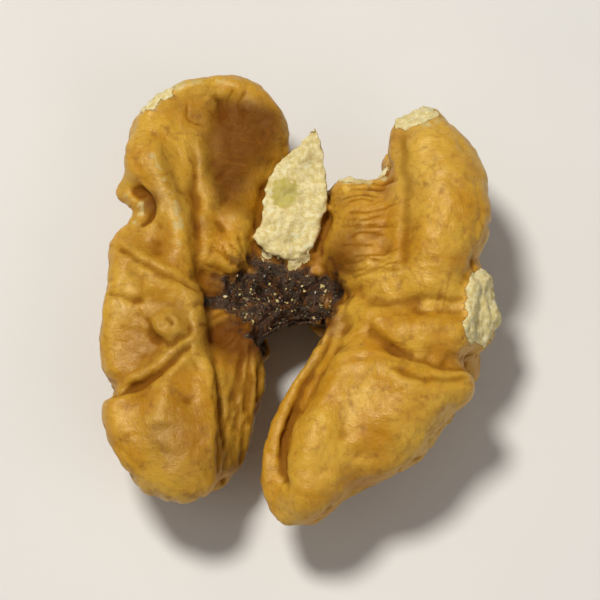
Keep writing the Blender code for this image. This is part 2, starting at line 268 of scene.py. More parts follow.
# Where the skin is stained brown, partly real stain and partly painted shade on faces turned from the
# light and in hollows: behind the rim, around the pith and down the inner walls.
STAINS_AND_SHADE = [
    (-5.2, 13.4, 4.4, 0.92), (-3.2, 12.6, 4.0, 0.85), (-5.2, 10.2, 3.6, 0.88), (-2.2, 14.6, 2.6, 0.45),
    (-5.0, 7.2, 3.0, 0.60), (-7.4, 5.2, 1.7, 0.45), (-8.6, 14.4, 2.4, 0.35), (4.0, 4.4, 3.8, 0.50),
    (3.0, 2.4, 2.8, 0.80), (3.0, 7.4, 1.6, 0.45), (-6.6, 0.2, 3.0, 0.75), (-5.8, -3.4, 3.0, 0.80),
    (-3.6, -7.6, 4.6, 0.55), (-4.2, -13.0, 3.6, 0.50), (-4.6, -3.6, 3.4, 0.90), (-4.0, -3.0, 2.6, 0.90),
    (2.0, -2.2, 2.4, 0.80), (-10.0, 8.0, 8.0, 0.32), (-11.0, -3.0, 7.0, 0.30), (-9.0, -11.4, 6.5, 0.42),
    (0.4, -5.2, 2.4, 0.45), (-11.4, 6.8, 1.5, 0.75),
]

# Where the left lobe's skin is painted darker all over, as painted shade.
LEFT_PAINTED_SHADE = [
    (-11.4, 2.6, 5.0, 0.75), (-10.6, -4.6, 5.6, 1.0), (-8.6, -12.0, 6.0, 0.75), (-12.6, -8.0, 3.6, 0.5),
]

# Where the right lobe's finger is painted paler all over, as painted light.
RIGHT_PAINTED_LIGHT = [
    (9.6, 8.4, 5.6, 0.75), (9.2, 14.2, 4.4, 1.0),
]

# Where torn flesh spreads from the foot of the broken stump over the pith.
STUMP_FOOT = [
    (-2.6, 3.6, 1.2, 0.9), (-0.6, 2.9, 1.3, 0.9), (0.3, 3.2, 1.1, 0.8),
]

# Where the skin runs smooth over the folds below it.
CALM = [
    (-9.4, 11.8, 3.0, 0.9), (-8.8, 9.0, 2.6, 0.9), (-8.4, 13.6, 2.4, 0.8), (-11.4, 4.3, 2.0, 0.9),
    (-8.3, -7.4, 2.0, 0.9), (4.0, -9.6, 2.6, 0.9), (-12.2, -4.4, 2.0, 0.8), (-8.1, 1.4, 1.4, 0.6),
    (-8.4, 6.0, 1.8, 0.7), (10.4, 7.6, 3.0, 0.6), (10.6, -1.0, 2.6, 0.8), (7.4, -1.2, 1.6, 0.6),
]

# Where the pith has sunk: by the open cleft and in two small pits.
PITH_PITS = [
    (-0.5, -2.2, 3.4), (-2.6, 0.9, 1.6), (1.0, 0.6, 1.4, 0.7),
]

# The oily yellow spot on the broken stump.
OIL_SPOT = (-1.2, 7.9, 1.9)


def spoke(middle, near, far, turn, bend):
    """Three knots of a slightly bent line running out from a middle."""
    reaches = ((near, turn), (0.5 * (near + far), bend), (far, turn))
    return [(middle[0] + r * math.cos(a), middle[1] + r * math.sin(a)) for r, a in reaches]


def wall_hairlines(draw):
    """Fine wrinkles across the right lobe's inner wall."""
    lines = []
    for k in range(14):
        y = 1.0 + 0.60 * k + draw.uniform(-0.12, 0.12)
        start = 2.7 + draw.uniform(0.0, 0.9)
        end = 7.0 + draw.uniform(-1.2, 1.4)
        bow = draw.uniform(-0.25, 0.25)
        knots = [(start, y), ((start + end) / 2, y + bow), (end, y + draw.uniform(-0.2, 0.2))]
        lines.append((knots, draw.uniform(0.07, 0.13), 0.15))
    return lines


def pith_hairlines(draw):
    """Fine wrinkles fanning out of the pith over the left lobe."""
    lines = []
    for k in range(15):
        turn = math.radians(118.0 + 9.5 * k + draw.uniform(-3.0, 3.0))
        near = draw.uniform(2.2, 3.0)
        far = near + draw.uniform(1.8, 3.4)
        bend = turn + draw.uniform(-0.12, 0.12)
        knots = spoke((-2.4, 0.2), near, far, turn, bend)
        lines.append((knots, draw.uniform(0.08, 0.16), 0.16))
    return lines


def rim_hairlines(draw):
    """Very fine wrinkles in the brown hollow, spreading towards the rim."""
    lines = []
    for _ in range(16):
        turn = math.radians(draw.uniform(35.0, 150.0))
        near = draw.uniform(1.2, 3.2)
        far = near + draw.uniform(1.0, 2.6)
        bend = turn + draw.uniform(-0.25, 0.25)
        knots = spoke((-5.2, 11.6), near, far, turn, bend)
        lines.append((knots, draw.uniform(0.03, 0.09), 0.15))
    return lines


def grain_hairlines(draw):
    """Long grain down the left lobe's dark inner wall."""
    lines = []
    for _ in range(16):
        x = draw.uniform(-5.4, -2.4)
        y = draw.uniform(-10.0, -3.0)
        length = draw.uniform(2.0, 5.0)
        lean = draw.uniform(-0.5, 0.1)
        middle = x + lean + draw.uniform(-0.2, 0.2)
        knots = [(x, y), (middle, y - length / 2), (x + 1.4 * lean, y - length)]
        lines.append((knots, draw.uniform(0.08, 0.18), 0.18))
    return lines


def hairlines():
    draw = random.Random(5)
    return wall_hairlines(draw) + pith_hairlines(draw) + rim_hairlines(draw) + grain_hairlines(draw)


def carve(co, normals, creases):
    """Press creases into the upward side, with a low rounded shoulder on either side of each."""
    upward = smoothstep(-0.1, 0.35, normals[:, 2])
    depth_here = np.zeros(len(co))
    dark = np.zeros(len(co))
    wobble = warped(co, 1.1 * MM, 0.22 * MM, 31)[:, :2]
    for knots, depth, width in creases:
        line = smooth_line(knots)
        gap, along = distance_to_line(wobble, line)
        fade = smoothstep(0.0, 0.16, along) * smoothstep(0.0, 0.16, 1.0 - along)
        size = width * MM
        groove = np.exp(-(gap / size) ** 2)
        shoulder = np.exp(-((gap - 2.0 * size) / (1.1 * size)) ** 2)
        depth_here += upward * fade * depth * MM * (groove - 0.28 * shoulder)
        dark = np.maximum(dark, upward * fade * groove)
    return co - normals * depth_here[:, None], dark


# ---------------------------------------------------------------- sculpting

def concavity(co, normals, edges, passes):
    """How far each point lies below the average of the skin around it, in metres."""
    around = spread(co, edges, passes)
    return np.einsum("ij,ij->i", around - co, normals)


def deepen_folds(mesh, edges, passes, gain, limit):
    """Sink the skin further where it already lies low, by no more than a limit in mm."""
    co = read_points(mesh)
    normals = read_normals(mesh)
    low = spread(np.clip(concavity(co, normals, edges, passes), 0.0, None), edges, 2)
    sink = np.minimum(gain * low, limit * MM)
    write_points(mesh, co - normals * sink[:, None])


def meanders(co, size, width, seed):
    """Winding creases: narrow bands where a warped noise changes sign."""
    wander = warped(co, 1.7 * size, 0.55 * size, seed)
    field = noise_at(wander, size, seed + 9)
    return np.exp(-(field / width) ** 2)


def has_skin(x, y, z):
    """Whether a flat face with this normal is a resting flat, a gap's side or the stump's heel."""
    resting_flat = z < -0.2
    gap_side = abs(x) > 0.85
    stump_heel = y < -0.45 and z < 0.6
    return resting_flat or gap_side or stump_heel


def broken_faces(node):
    """The CAD solid's larger flat faces that show bare flesh."""
    mesh = node.data
    groups = {}
    for face in mesh.polygons:
        n = face.normal
        key = (round(n.x, 2), round(n.y, 2), round(n.z, 2), round(n.dot(face.center) / (0.05 * MM)))
        groups.setdefault(key, []).append(face)
    points = [v.co.copy() for v in mesh.vertices]
    chosen = []
    for key, faces in groups.items():
        if not has_skin(*key[:3]) and sum(f.area for f in faces) > SMALLEST_BREAK:
            chosen.extend(tuple(f.vertices) for f in faces)
    return BVHTree.FromPolygons(points, chosen)


def nearness(co, tree, reach):
    """1 on the surface held in the tree, falling to 0 at a reach from it."""
    out = np.zeros(len(co))
    for i, p in enumerate(co.tolist()):
        found = tree.find_nearest(Vector(p), reach)
        if found[0] is not None:
            out[i] = 1.0 - found[3] / reach
    return out


def store(mesh, name, values):
    layer = mesh.attributes.new(name, "FLOAT", "POINT")
    layer.data.foreach_set("value", np.clip(values, 0.0, 1.0).astype(np.float32))


# The ovals in mm of the pith and of the painted shade on its edge over the cleft: the middle and the
# reach in x and y of each.
PITH_MIDDLE = (-1.5, 0.2)
PITH_REACH = (5.2, 3.6)
TRAIL_MIDDLE = (-5.6, -0.4)
TRAIL_REACH = (2.6, 0.9)
EDGE_MIDDLE = (-1.2, -2.5)
EDGE_REACH = (3.3, 2.3)


def oval(co, middle, reach):
    """0 in the middle of an oval and 1 on its edge."""
    return np.hypot((co[:, 0] / MM - middle[0]) / reach[0], (co[:, 1] / MM - middle[1]) / reach[1])


def pith_and_shade_mask(co, normals):
    """The dark fibrous middle: its top and a trail to the left; and the edge over the open cleft, where
    the pith's dark colours are painted shade.
    """
    ragged = 0.30 * noise_at(co, 1.2 * MM, 3, 3)
    top = oval(co, PITH_MIDDLE, PITH_REACH)
    trail = oval(co, TRAIL_MIDDLE, TRAIL_REACH) + 0.25
    edge = oval(co, EDGE_MIDDLE, EDGE_REACH)
    upper = smoothstep(1.15, 0.55, np.minimum(top, trail) + ragged)
    upper *= smoothstep(-0.7, -0.1, normals[:, 2]) * by_height(co, 3.0, 5.0)
    # Painted shade: the pith's dark colours carried down the edge over the cleft.
    under = smoothstep(1.15, 0.65, edge + ragged) * by_height(co, 3.0, 4.0)
    return np.maximum(upper, under) * by_height(co, 10.4, 8.8)


def calm(mesh, edges, places):
    """Smooth the skin well in a few places."""
    co = read_points(mesh)
    share = spots(co, places) * by_height(co, 6.0, 8.0)
    write_points(mesh, co + share[:, None] * (spread(co, edges, CALM_SMOOTHING) - co))


# How far each kind of relief stands out or sinks in, in mm.
BROAD_LUMPS = 0.12
SMALL_LUMPS = 0.05
RIPPLES = 0.055
BACK_CREASES = 0.36
BACK_WRINKLES = 0.10
FACE_CREASES = 0.08
CRINKLES = 0.045
FLESH_GRAIN = 0.26
FLESH_LUMPS = 0.44
FLESH_DEPTH = 0.05
PITH_GRAIN = 0.34
PITH_DEPTH = 0.30
PIT_DEPTH = 1.20


def skin_relief(co, normals):
    """The skin's lumps and winding creases, strong on the back and faint on the inner face."""
    face_side = smoothstep(-0.15, 0.45, normals[:, 2]) * by_height(co, 5.0, 7.0)
    back = 1.0 - face_side
    broad = noise_at(co, 3.4 * MM, 11, 2) * BROAD_LUMPS * MM
    lumps = noise_at(co, 1.3 * MM, 14, 2) * SMALL_LUMPS * MM
    across = ripples(co, 0.75 * MM, (3.6, 1.0, 2.0), 51) * RIPPLES * MM
    back_creases = meanders(co, 3.1 * MM, 0.09, 17) * BACK_CREASES * MM * back
    back_wrinkles = meanders(co, 1.7 * MM, 0.10, 19) * BACK_WRINKLES * MM * back
    face_creases = meanders(co, 3.6 * MM, 0.05, 23) * FACE_CREASES * MM * face_side
    crinkles = meanders(co, 1.9 * MM, 0.14, 27) * CRINKLES * MM
    return broad + lumps + across - back_creases - back_wrinkles - face_creases - crinkles


def flesh_relief(co):
    """The rough grain of the broken faces."""
    grain = noise_at(co, 0.50 * MM, 41, 3) * FLESH_GRAIN * MM
    lumps = noise_at(co, 1.9 * MM, 43, 2) * FLESH_LUMPS * MM
    return grain + lumps - FLESH_DEPTH * MM


def pith_relief(co):
    """The sunken and pitted top of the pith."""
    fibres = noise_at(co, 0.55 * MM, 47, 3) * PITH_GRAIN * MM - PITH_DEPTH * MM
    return fibres - spots(co, PITH_PITS) * PIT_DEPTH * MM


def rough_out(node):
    """The kernel's fine mesh with its folds deepened, and how bare each point is."""
    kernel = grow_fine_mesh(node, CELL)
    mesh = kernel.data
    edges = read_edges(mesh)
    bare = nearness(read_points(mesh), broken_faces(node), BARE_REACH)
    write_points(mesh, spread(read_points(mesh), edges, FIRST_SMOOTHING))
    calm(mesh, edges, CALM)
    deepen_folds(mesh, edges, 45, 0.7, 0.38)
    deepen_folds(mesh, edges, 14, 0.4, 0.10)
    return kernel, edges, bare


def add_strokes(mesh, edges, co):
    """Raise the rims and press the creases in; gives the points, how raised and how creased each is."""
    normals = read_normals(mesh)
    rims = [(knots, -height, width) for knots, height, width in RIMS.values()]
    co, raised = carve(co, normals, rims)
    co, carved = carve(co, normals, [*CREASES.values(), *hairlines()])
    co = spread(co, edges, FINAL_SMOOTHING, 0.35)
    co[:, 2] = np.maximum(co[:, 2], cad_low.z)
    write_points(mesh, co)
    return co, raised, carved


def store_folds(mesh, edges, co):
    """Attributes for how low or proud the finished skin lies, at three scales."""
    normals = read_normals(mesh)
    hollow = np.clip(concavity(co, normals, edges, 8), 0.0, None) / (0.09 * MM)
    basin = np.clip(concavity(co, normals, edges, 60), 0.0, None) / (0.30 * MM)
    ridge = np.clip(-concavity(co, normals, edges, 20), 0.0, None) / (0.10 * MM)
    store(mesh, "hollow", spread(hollow, edges, 1))
    store(mesh, "basin", basin)
    store(mesh, "ridge", ridge)


def store_marks(mesh, co, raised):
    """Attributes for the rubbed, oily and stained places, the stains partly painted shade, with painted
    shade on the darker left lobe and painted light on the paler finger.
    """
    normals = read_normals(mesh)
    rubbed = np.maximum(spots(co, SCUFFS), 0.45 * raised)
    rubbed *= by_height(co, 6.0, 8.0) * smoothstep(0.25, 0.60, normals[:, 2])
    store(mesh, "scuff", rubbed)
    store(mesh, "oil", spots(co, [OIL_SPOT]))
    store(mesh, "stain_and_shade", spots(co, STAINS_AND_SHADE) * by_height(co, 3.5, 5.5))
    store(mesh, "left_painted_shade", spots(co, LEFT_PAINTED_SHADE))
    store(mesh, "right_painted_light", spots(co, RIGHT_PAINTED_LIGHT))


def sculpt_kernel(node):
    kernel, edges, bare = rough_out(node)
    mesh = kernel.data
    co = read_points(mesh)
    normals = read_normals(mesh)
    skin = 1.0 - smoothstep(0.4, 0.9, bare)
    foot = spots(co, STUMP_FOOT) * by_height(co, 5.0, 6.5)
    pith = pith_and_shade_mask(co, normals) * (1.0 - foot)
    bare = np.maximum(bare, foot)
    rise = skin * skin_relief(co, normals) + (1.0 - skin) * flesh_relief(co)
    rise = rise * (1.0 - pith) + pith_relief(co) * pith
    co = co + normals * rise[:, None]
    write_points(mesh, co)

    co, raised, carved = add_strokes(mesh, edges, co)
    store_folds(mesh, edges, co)
    store_marks(mesh, co, raised)
    store(mesh, "bare", bare)
    # The pith attribute also carries painted shade on the edge over the open cleft.
    store(mesh, "pith", pith)
    store(mesh, "carved", carved)
    mesh.polygons.foreach_set("use_smooth", np.ones(len(mesh.polygons), dtype=bool))
    return kernel


# ---------------------------------------------------------------- small pieces over the pith

FIBRES = 130
FIBRE_SPREAD = (3.8, 2.1)
FIBRE_POINTS = 7
FEWEST_POINTS = 4
FIBRE_SIDES = 5
CRUMBS = 320
CRUMB_SPREAD = (4.3, 2.5)
PITH_BOTTOM = 5.0 * MM
PITH_TOP = 9.3 * MM
STUMP_MIDDLE = (-0.6, 4.9)
STUMP_REACH = 2.7


def surface_finder(kernel):
    """A function that gives the top of the kernel over a place in mm."""
    tree = BVHTree.FromObject(kernel, bpy.context.evaluated_depsgraph_get())
    top = cad_high.z + MM

    def find(x, y):
        place, normal, _, _ = tree.ray_cast(Vector((x * MM, y * MM, top)), Vector((0.0, 0.0, -1.0)))
        return place, normal
    return find


def over_pith(place, x, y):
    """Whether a place on the kernel, over x and y in mm, is on the pith and clear of the stump."""
    if place is None or place.z < PITH_BOTTOM or place.z > PITH_TOP:
        return False
    return math.hypot(x - STUMP_MIDDLE[0], y - STUMP_MIDDLE[1]) >= STUMP_REACH


def add_strand(bm, points, radius):
    """A thin tapering tube through a few points."""
    rings = []
    for k, point in enumerate(points):
        ahead = points[min(k + 1, len(points) - 1)] - points[max(k - 1, 0)]
        turn = ahead.to_track_quat("Z", "Y")
        share = k / (len(points) - 1)
        thick = radius * (0.25 + 0.75 * math.sin(math.pi * min(max(share, 0.04), 0.96)) ** 0.6)
        rings.append([bm.verts.new(point + turn @ Vector((thick * math.cos(a), thick * math.sin(a), 0.0)))
                      for a in np.linspace(0.0, 2.0 * math.pi, FIBRE_SIDES, endpoint=False)])
    for low, high in zip(rings, rings[1:]):
        for k in range(FIBRE_SIDES):
            bm.faces.new((low[k - 1], low[k], high[k], high[k - 1]))
    bm.faces.new(rings[0])
    bm.faces.new(reversed(rings[-1]))


def fibre_points(find, draw):
    """A short line wandering over the pith, lifted a little at its middle."""
    turn = draw.uniform(0.0, 2.0 * math.pi)
    out = math.sqrt(draw.random())
    x = PITH_MIDDLE[0] + FIBRE_SPREAD[0] * out * math.cos(turn)
    y = PITH_MIDDLE[1] + FIBRE_SPREAD[1] * out * math.sin(turn)
    heading = turn + draw.gauss(0.0, 0.9)
    bend = draw.uniform(-1.6, 1.6)
    step = draw.uniform(0.08, 0.20)
    lift = draw.uniform(0.0, 0.05) * MM
    points = []
    for k in range(FIBRE_POINTS):
        place, _ = find(x, y)
        if not over_pith(place, x, y):
            break
        arch = math.sin(math.pi * k / (FIBRE_POINTS - 1))
        points.append(place + Vector((0.0, 0.0, lift * arch - 0.025 * MM)))
        heading += bend / (FIBRE_POINTS - 1) + draw.gauss(0.0, 0.08)
        x += step * math.cos(heading)
        y += step * math.sin(heading)
    return points


def add_fibres(find):
    draw = random.Random(11)
    bm = bmesh.new()
    for _ in range(FIBRES):
        points = fibre_points(find, draw)
        if len(points) >= FEWEST_POINTS:
            add_strand(bm, points, draw.uniform(0.02, 0.05) * MM)
    return finish_piece(bm, "pith_fibres")


def add_crumb(bm, draw, place, normal):
    """A small rough lump, half sunk in the skin."""
    size = 0.03 * MM + 0.11 * MM * draw.random() ** 2
    shape = Matrix.Diagonal((size * draw.uniform(0.7, 1.6), size, size * draw.uniform(0.5, 0.9), 1.0))
    spin = Matrix.Rotation(draw.uniform(0.0, math.pi), 4, "Z")
    where = Matrix.Translation(place + normal * 0.4 * size) @ spin @ shape
    made = bmesh.ops.create_icosphere(bm, subdivisions=1, radius=1.0, matrix=where)
    for vert in made["verts"]:
        vert.co += Vector([draw.gauss(0.0, 0.26) * size for _ in range(3)])


def add_crumbs(find):
    draw = random.Random(23)
    bm = bmesh.new()
    for _ in range(CRUMBS):
        turn = draw.uniform(0.0, 2.0 * math.pi)
        out = draw.random() ** 0.6
        x = PITH_MIDDLE[0] + CRUMB_SPREAD[0] * out * math.cos(turn)
        y = PITH_MIDDLE[1] + CRUMB_SPREAD[1] * out * math.sin(turn)
        place, normal = find(x, y)
        if over_pith(place, x, y):
            add_crumb(bm, draw, place, normal)
    return finish_piece(bm, "pith_crumbs")


def finish_piece(bm, name):
    bmesh.ops.recalc_face_normals(bm, faces=bm.faces)
    mesh = bpy.data.meshes.new(name)
    bm.to_mesh(mesh)
    bm.free()
    return link(name, mesh)


# ---------------------------------------------------------------- materials

class Nodes:
    """A small helper for writing a material's nodes one per line."""

    def __init__(self, material):
        material.use_nodes = True
        self.tree = material.node_tree
        self.shader = self.tree.nodes["Principled BSDF"]
        self.place = self.add("ShaderNodeTexCoord").outputs["Object"]

    def add(self, kind, **settings):
        node = self.tree.nodes.new(kind)
        for key, value in settings.items():
            setattr(node, key, value)
        return node

    def feed(self, socket, value):
        if isinstance(value, bpy.types.NodeSocket):
            self.tree.links.new(value, socket)
        else:
            socket.default_value = value

    def attribute(self, name):
        return self.add("ShaderNodeAttribute", attribute_name=name).outputs["Fac"]

    def noise(self, size, detail=2.0, rough=0.5, place=None, warp=0.0):
        node = self.add("ShaderNodeTexNoise")
        self.feed(node.inputs["Vector"], place or self.place)
        node.inputs["Scale"].default_value = 1.0 / size
        node.inputs["Detail"].default_value = detail
        node.inputs["Roughness"].default_value = rough
        node.inputs["Distortion"].default_value = warp
        return node.outputs["Fac"]

    def drawn_out(self, scale, turn):
        """The object's coordinates, turned about +Z and squeezed, so that noise runs in lines."""
        node = self.add("ShaderNodeMapping", vector_type="TEXTURE")
        self.feed(node.inputs["Vector"], self.place)
        node.inputs["Rotation"].default_value = (0.0, 0.0, math.radians(turn))
        node.inputs["Scale"].default_value = scale
        return node.outputs["Vector"]

    def math(self, operation, a, b=0.0, clamp=False):
        node = self.add("ShaderNodeMath", operation=operation, use_clamp=clamp)
        self.feed(node.inputs[0], a)
        self.feed(node.inputs[1], b)
        return node.outputs[0]

    def ramp(self, value, low, high, start=0.0, end=1.0):
        node = self.add("ShaderNodeMapRange", interpolation_type="SMOOTHSTEP")
        self.feed(node.inputs["Value"], value)
        node.inputs["From Min"].default_value = low
        node.inputs["From Max"].default_value = high
        node.inputs["To Min"].default_value = start
        node.inputs["To Max"].default_value = end
        return node.outputs["Result"]

    def mix(self, share, a, b):
        node = self.add("ShaderNodeMix", data_type="RGBA")
        self.feed(node.inputs[0], share)
        self.feed(node.inputs[6], a)
        self.feed(node.inputs[7], b)
        return node.outputs[2]

    def bump(self, height, strength, distance, below=None):
        node = self.add("ShaderNodeBump")
        node.inputs["Strength"].default_value = strength
        node.inputs["Distance"].default_value = distance
        self.feed(node.inputs["Height"], height)
        if below is not None:
            self.feed(node.inputs["Normal"], below)
        return node.outputs["Normal"]


# Colours of the skin, from the lightest to the darkest.
# Painted light colour, for the paler finger.
PAINTED_LIGHT_BUFF = (0.84, 0.60, 0.120, 1.0)
STRAW = (0.66, 0.38, 0.040, 1.0)
AMBER = (0.52, 0.235, 0.010, 1.0)
HONEY = (0.34, 0.130, 0.009, 1.0)
# Painted shade colour, for the darker left lobe.
PAINTED_SHADE_TAN = (0.24, 0.110, 0.012, 1.0)
BROWN = (0.15, 0.045, 0.006, 1.0)
SIENNA = (0.135, 0.036, 0.003, 1.0)

# Colours of the broken flesh.
IVORY = (0.90, 0.84, 0.58, 1.0)
PALE = (0.81, 0.71, 0.39, 1.0)
CREAM = (0.66, 0.53, 0.22, 1.0)
OLIVE = (0.36, 0.29, 0.06, 1.0)
OIL = (0.46, 0.39, 0.055, 1.0)

# Colours of the pith.
RUST = (0.13, 0.045, 0.010, 1.0)
MAUVE = (0.052, 0.025, 0.017, 1.0)
UMBER = (0.016, 0.007, 0.004, 1.0)

FLOOR_LIGHT = (0.78, 0.77, 0.75, 1.0)
FLOOR_DARK = (0.74, 0.73, 0.71, 1.0)


def veins(n):
    """Faint branching lines, along the middle value of a warped noise."""
    branch = n.noise(3.2 * MM, 3.0, 0.55, warp=0.9)
    one_side = n.ramp(branch, 0.455, 0.50)
    other_side = n.ramp(branch, 0.50, 0.545, 1.0, 0.0)
    faint = n.ramp(n.noise(2.1 * MM, 2.0), 0.42, 0.66, 0.0, 0.42)
    return n.math("MULTIPLY", n.math("MULTIPLY", one_side, other_side), faint)


def skin_colour(n, mottle, speck, lines, crease_shade):
    patches = n.noise(4.2 * MM, 3.0, 0.55)
    colour = n.mix(n.ramp(patches, 0.36, 0.64), AMBER, STRAW)
    colour = n.mix(n.ramp(mottle, 0.46, 0.74, 0.0, 0.45), colour, HONEY)
    # Painted shade: the left lobe darker all over.
    colour = n.mix(n.ramp(n.attribute("left_painted_shade"), 0.0, 1.0, 0.0, 0.46), colour, PAINTED_SHADE_TAN)
    # Painted light: the right lobe's finger paler all over.
    colour = n.mix(n.ramp(n.attribute("right_painted_light"), 0.0, 1.0, 0.0, 0.40), colour, PAINTED_LIGHT_BUFF)
    # Painted highlight: the proud ridges paler straw.
    colour = n.mix(n.ramp(n.attribute("ridge"), 0.15, 0.95, 0.0, 0.40), colour, STRAW)
    colour = n.mix(n.ramp(speck, 0.62, 0.76, 0.0, 0.28), colour, BROWN)
    colour = n.mix(veins(n), colour, HONEY)
    # Painted shade: darker honey in the broad hollows.
    colour = n.mix(n.ramp(n.attribute("basin"), 0.05, 0.9, 0.0, 0.60), colour, HONEY)
    # Painted shade mixed with real stain: sienna brown behind the rim, around the pith and down the inner
    # walls.
    uneven = n.math("MULTIPLY", n.math("SUBTRACT", patches, 0.5), 0.8)
    blot = n.math("ADD", n.attribute("stain_and_shade"), uneven)
    colour = n.mix(n.ramp(blot, 0.10, 0.95, 0.0, 0.92), colour, SIENNA)
    colour = n.mix(n.ramp(lines, 0.50, 0.70, 0.0, 0.32), colour, HONEY)
    # Painted shade: brown in the creases and hollows of the skin.
    return n.mix(n.ramp(crease_shade, 0.10, 1.0, 0.0, 0.62), colour, BROWN)


def flesh_colour(n):
    grain = n.noise(0.35 * MM, 4.0, 0.65)
    colour = n.mix(n.ramp(grain, 0.38, 0.62), CREAM, PALE)
    colour = n.mix(n.ramp(n.noise(1.5 * MM, 2.0), 0.58, 0.74, 0.0, 0.32), colour, OLIVE)
    colour = n.mix(n.ramp(n.noise(0.75 * MM, 2.0), 0.56, 0.68, 0.0, 0.55), colour, IVORY)
    seep = n.math("MULTIPLY", n.math("SUBTRACT", n.noise(0.9 * MM, 3.0, 0.6), 0.5), 1.6)
    oil = n.math("ADD", n.attribute("oil"), seep)
    return n.mix(n.ramp(oil, 0.30, 0.62, 0.0, 0.70), colour, OIL)


def pith_colour(n, mottle, speck):
    colour = n.mix(n.ramp(mottle, 0.40, 0.62), UMBER, MAUVE)
    colour = n.mix(n.ramp(n.noise(0.6 * MM, 3.0), 0.52, 0.70, 0.0, 0.8), colour, RUST)
    return n.mix(n.ramp(speck, 0.66, 0.72, 0.0, 0.55), colour, CREAM)


def drawn_lines(n):
    """Fine lines in the skin, in some places along the kernel and in others across it."""
    along = n.drawn_out((1.0, 4.5, 1.0), 12.0)
    across = n.drawn_out((4.0, 1.0, 1.0), -8.0)
    lengthwise = n.noise(0.34 * MM, 4.0, 0.62, place=along, warp=0.25)
    crosswise = n.noise(0.34 * MM, 4.0, 0.62, place=across, warp=0.25)
    chooser = n.ramp(n.noise(6.0 * MM, 1.0), 0.42, 0.58)
    other = n.math("SUBTRACT", 1.0, chooser)
    return n.math("ADD", n.math("MULTIPLY", lengthwise, chooser), n.math("MULTIPLY", crosswise, other))


def set_gloss(n, mottle, crease_shade, bare, pith):
    """Waxy skin and damp pith; the flesh, the creases and the hollows with stain and painted shade are
    dull.
    """
    gloss = n.ramp(mottle, 0.35, 0.70, 0.30, 0.50)
    shade = n.ramp(n.attribute("stain_and_shade"), 0.2, 0.9)
    dull = n.math("MAXIMUM", bare, n.math("MULTIPLY", shade, 0.6))
    dull = n.math("MAXIMUM", dull, n.ramp(crease_shade, 0.1, 0.8, 0.0, 0.9))
    dull = n.math("MULTIPLY", dull, n.math("SUBTRACT", 1.0, pith))
    rough = n.math("ADD", gloss, n.math("MULTIPLY", dull, 0.30), clamp=True)
    n.feed(n.shader.inputs["Roughness"], rough)
    n.feed(n.shader.inputs["Specular IOR Level"], n.ramp(dull, 0.0, 0.8, 0.50, 0.06))
    n.shader.inputs["Specular Tint"].default_value = (1.0, 0.88, 0.62, 1.0)
    n.shader.inputs["Subsurface Weight"].default_value = 0.10
    n.shader.inputs["Subsurface Radius"].default_value = (1.0, 0.45, 0.12)
    n.shader.inputs["Subsurface Scale"].default_value = 0.5 * MM


def set_skin_bump(n, lines, pith):
    """Wrinkles, drawn lines, crinkles, the pith's grit and pores, one on the other."""
    wrinkle = n.noise(0.55 * MM, 5.0, 0.66, warp=0.5)
    crinkle = n.noise(1.6 * MM, 4.0, 0.6, warp=0.3)
    grit = n.math("MULTIPLY", n.noise(0.28 * MM, 4.0, 0.6), pith)
    pores = n.noise(0.13 * MM, 3.0, 0.6)
    normal = n.bump(wrinkle, 0.55, 0.15 * MM)
    normal = n.bump(lines, 0.42, 0.12 * MM, normal)
    normal = n.bump(crinkle, 0.45, 0.20 * MM, normal)
    normal = n.bump(grit, 0.8, 0.30 * MM, normal)
    n.feed(n.shader.inputs["Normal"], n.bump(pores, 0.40, 0.05 * MM, normal))


def skin_material():
    material = bpy.data.materials.new(SLOT)
    n = Nodes(material)
    mottle = n.noise(0.9 * MM, 4.0, 0.6)
    speck = n.noise(0.32 * MM, 3.0, 0.6)
    fray = n.math("SUBTRACT", mottle, 0.5)
    lines = drawn_lines(n)
    # Painted shade in the creases and hollows, from how low the skin lies and the carved grooves.
    crease_shade = n.math("MAXIMUM", n.attribute("hollow"), n.math("MULTIPLY", n.attribute("carved"), 0.75))
    colour = skin_colour(n, mottle, speck, lines, crease_shade)

    scuffed = n.math("ADD", n.attribute("scuff"), n.math("MULTIPLY", fray, 1.6))
    colour = n.mix(n.ramp(scuffed, 0.35, 0.75, 0.0, 0.85), colour, CREAM)
    ragged = n.math("ADD", n.attribute("bare"), n.math("MULTIPLY", fray, 1.7))
    edge = n.math("MULTIPLY", n.ramp(ragged, 0.42, 0.56), 0.5)
    colour = n.mix(edge, colour, BROWN)
    bare = n.ramp(ragged, 0.57, 0.65)
    colour = n.mix(bare, colour, flesh_colour(n))

    covered = n.ramp(bare, 0.0, 1.0, 1.0, 0.0)
    # Rust around the pith and the pith's dark colours, also laid as painted shade on the edge over the
    # cleft.
    stained = n.math("ADD", n.attribute("pith"), n.math("MULTIPLY", fray, 0.8))
    rusty = n.math("MULTIPLY", n.ramp(stained, 0.02, 0.40, 0.0, 0.75), covered)
    colour = n.mix(rusty, colour, RUST)
    pith = n.math("MULTIPLY", n.ramp(stained, 0.35, 0.75), covered)
    colour = n.mix(pith, colour, pith_colour(n, mottle, speck))

    n.feed(n.shader.inputs["Base Color"], colour)
    set_gloss(n, mottle, crease_shade, bare, pith)
    set_skin_bump(n, lines, pith)
    return material


def fibre_material():
    material = bpy.data.materials.new("pith_fibre")
    n = Nodes(material)
    tone = n.noise(0.7 * MM, 2.0)
    colour = n.mix(n.ramp(tone, 0.35, 0.60), UMBER, RUST)
    colour = n.mix(n.ramp(n.noise(0.9 * MM, 1.0), 0.60, 0.70, 0.0, 0.8), colour, HONEY)
    n.feed(n.shader.inputs["Base Color"], colour)
    n.shader.inputs["Roughness"].default_value = 0.55
    n.feed(n.shader.inputs["Normal"], n.bump(n.noise(0.08 * MM, 2.0), 0.4, 0.02 * MM))
    return material


